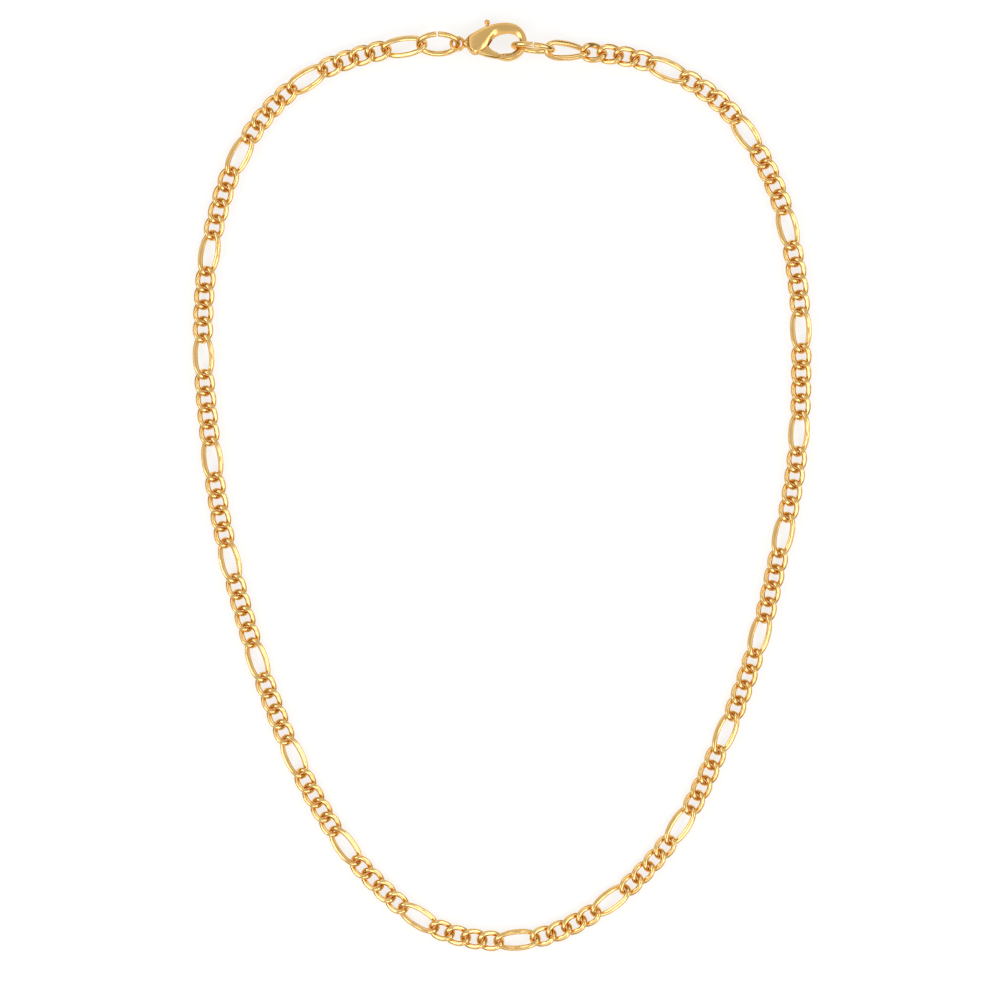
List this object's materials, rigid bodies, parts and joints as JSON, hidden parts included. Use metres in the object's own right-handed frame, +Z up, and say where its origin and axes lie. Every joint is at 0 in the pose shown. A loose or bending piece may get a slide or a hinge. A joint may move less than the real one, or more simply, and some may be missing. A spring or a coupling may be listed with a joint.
{
  "type": "figaro chain necklace with a lobster clasp",
  "caption": "Gold-coloured figaro chain necklace, lying in a closed loop, with slit jump rings and a sprung lobster clasp.",
  "frame": {"origin": "middle of the lying loop on the surface that it rests on", "axes": "+Y from the middle of the loop towards the clasp, +Z up from the surface, +X to the side of the clasp's hook"},
  "size_m": [0.1159, 0.1744, 0.0057],
  "materials": {
    "links": "polished",
    "rings": "polished",
    "clasp": "polished"
  },
  "bodies": {
    "necklace": {"chain_right": "links", "chain_left": "links", "jump_ring_left": "rings", "jump_ring_right": "rings", "clasp_body": "clasp", "clasp_rivet": "clasp"},
    "lever": {"clasp_lever": "clasp"}
  },
  "joints": [
    {"name": "lever_hinge", "type": "hinge", "parent": "necklace", "child": "lever", "pos_m": [-0.00494, 0.08302, 0.0022], "axis": [-0.032, 0.2264, 0.9735], "range_deg": [0, 24], "stiffness_Nm_per_rad": 0.003, "springref_deg": -20.05}
  ]
}
